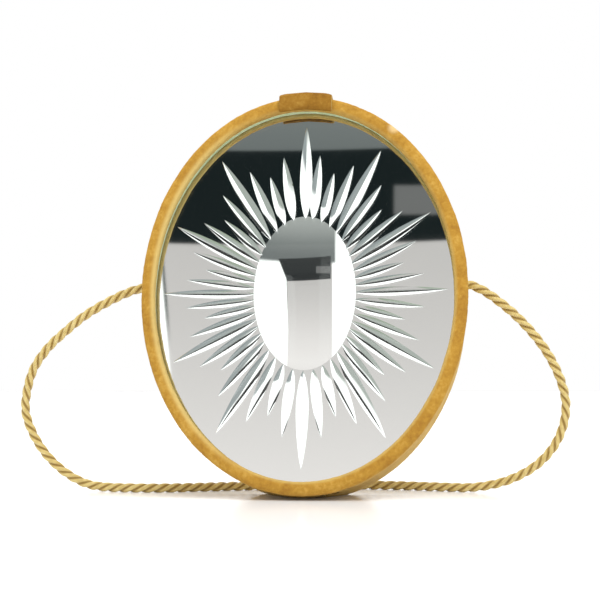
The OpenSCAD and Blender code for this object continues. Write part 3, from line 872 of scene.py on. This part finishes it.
def make_gusset(side):
    """A satin fan with one fold, from the case's wall to the front's, inside the seam."""
    nt, nw = 60, 25
    f = np.linspace(0, 1, nt)
    t = np.radians(-64 + 74 * f)
    deep = 0.6 + 29 * f
    across = np.linspace(0, 1, nw)
    fold = 1 - np.abs(2 * across - 1)
    fold = np.clip(fold * 1.03, 0, 1) - 0.03 * fold**6
    y = 19.3 - 4.5 * across
    sheets = []
    for thick in (0.0, SATIN_T):
        rows = []
        for ti, d in zip(t, deep):
            ripple = 0.25 * np.sin(across * 9 + ti * 6) * fold
            x, z = oval(ti, 5.0 + d * fold)
            rows.append(world(side * x, y + ripple + thick * np.where(across < 0.5, 1, -1), z))
        sheets.append(np.array(rows))
    hand = "right" if side > 0 else "left"
    points = np.concatenate([s.reshape(-1, 3) for s in sheets])
    o = add_mesh("gusset_pleat_" + hand, points, two_sided(nt, nw), [SATIN])
    at = world(0.0, np.array([19.0, 15.0]), 0.0)
    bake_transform(o)
    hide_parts("gusset_" + hand)


make_case_lining()
make_front_lining()
make_pocket()
make_gusset(1)
make_gusset(-1)

# ---- Studio ------------------------------------------------------------------------------------


def make_floor():
    m, g, p = new_material("studio_floor", Roughness=0.22, Specular_IOR_Level=0.35)
    patches = g.noise(g.coords(), 3, 2)
    g.put(p.inputs["Base Color"], g.mix(patches, (0.93, 0.93, 0.93, 1), (0.94, 0.94, 0.94, 1)))
    corners = [(-4, -0.55, 0), (4, -0.55, 0), (4, 4, 0), (-4, 4, 0)]
    o = add_mesh("studio_floor", corners, [(0, 1, 2, 3)], [m], flat=True)


def make_light(name, where, target, size, power):
    light = bpy.data.lights.new(name, "AREA")
    light.shape = "DISK"
    light.size = size
    light.energy = power
    o = bpy.data.objects.new(name, light)
    scene.collection.objects.link(o)
    o.location = where
    o.rotation_mode = "QUATERNION"
    o.rotation_quaternion = (Vector(target) - Vector(where)).to_track_quat("-Z", "Y")
    o.visible_glossy = False
    o.visible_transmission = False
    o.visible_camera = False


def make_world():
    """White studio. What glossy surfaces see of it: white boxes at both sides, and between them a
    grey wall with a dark strip under a grey ceiling."""
    w = bpy.data.worlds.new("studio")
    scene.world = w
    w.use_nodes = True
    g = Graph(w.node_tree)
    w.node_tree.nodes.clear()
    d = g.node("ShaderNodeSeparateXYZ")
    g.put(d.inputs[0], g.node("ShaderNodeTexCoord").outputs["Generated"])
    x, y, z = d.outputs
    # both angles in degrees: az is 0 over the front of the bag, and el is the height
    deg = math.degrees(1)
    az = g.math("MULTIPLY", g.math("ARCTAN2", x, g.math("MULTIPLY", y, -1.0)), deg)
    el = g.math("MULTIPLY", g.math("ARCSINE", z), deg)

    def grey(v):
        return (v, v, v, 1)

    def within(q, lo, hi, soft):
        return g.math("MULTIPLY", g.step(q, lo - soft, lo + soft), g.step(q, hi + soft, hi - soft))

    def both(a, b):
        return g.math("MULTIPLY", a, b)

    c = grey(1.5)
    # the ceiling, and a duller left side above the white box
    c = g.mix(g.step(el, 46, 56), c, (0.40, 0.46, 0.37, 1))
    c = g.mix(both(g.step(az, -14, -22), g.step(el, 24.5, 27)), c, (0.36, 0.39, 0.40, 1))
    c = g.mix(both(g.step(az, -60, 16), within(el, 31, 60, 3)), c, (0.44, 0.47, 0.44, 1))
    # over the near edge of the table the room is dark
    c = g.mix(g.step(el, 3, 0), c, grey(0.03))
    clamped = g.math("MINIMUM", g.math("MAXIMUM", el, 15), 25)
    left = g.math("MULTIPLY_ADD", g.math("SUBTRACT", clamped, 18.7), 0.16, az)
    wall = both(g.step(left, -10.9, -10.8), g.step(az, 3.65, 3.15))
    low = g.mix(g.step(el, 24, 8), (0.60, 0.565, 0.56, 1), (0.96, 0.90, 0.895, 1))
    c = g.mix(both(wall, g.step(el, 2, 5)), c, low)
    line = both(within(left, -10.84, -10.72, 0.05), g.step(el, 18.3, 20.5))
    c = g.mix(line, c, (0.07, 0.085, 0.08, 1))
    # the wall above the side boxes
    high = g.mix(g.step(el, 26, 33), (0.165, 0.18, 0.18, 1), (0.44, 0.45, 0.44, 1))
    c = g.mix(both(within(az, -24, 4.4, 0.5), within(el, 25.5, 50, 0.3)), c, high)
    slant = g.math("MULTIPLY_ADD", g.math("SUBTRACT", el, 22.8), -1.0, -11.5)
    strip = both(g.step(g.math("SUBTRACT", az, slant), -0.3, 0.3), g.step(az, 3.2, 2.6))
    low_edge = g.step(g.math("MULTIPLY_ADD", az, -0.037, el), 22.86, 22.98)
    high_edge = g.step(g.math("MULTIPLY_ADD", az, -0.041, el), 26.52, 26.44)
    dark = both(strip, both(low_edge, high_edge))
    c = g.mix(both(strip, within(el, 26.2, 28, 0.1)), c, high)
    c = g.mix(dark, c, (0.011, 0.016, 0.017, 1))
    patch = both(within(az, -1.9, 3.0, 0.1), within(el, 23.9, 25.0, 0.08))
    c = g.mix(patch, c, grey(0.17))

    path = g.node("ShaderNodeLightPath")
    plain = g.math("MAXIMUM", path.outputs["Is Camera Ray"], path.outputs["Is Diffuse Ray"])
    seen = g.mix(plain, c, (1.0, 1.0, 1.0, 1))
    back = g.node("ShaderNodeBackground")
    g.put(back.inputs[0], seen)
    g.put(g.node("ShaderNodeOutputWorld").inputs[0], back.outputs[0])


make_floor()
make_world()
make_light("key", (0.35, -0.75, 1.15), (0, 0, 0.08), 0.9, 9.0)
make_light("top", (-0.2, 0.15, 1.3), (0, 0, 0.05), 1.2, 7.0)
scene.view_settings.view_transform = "Standard"
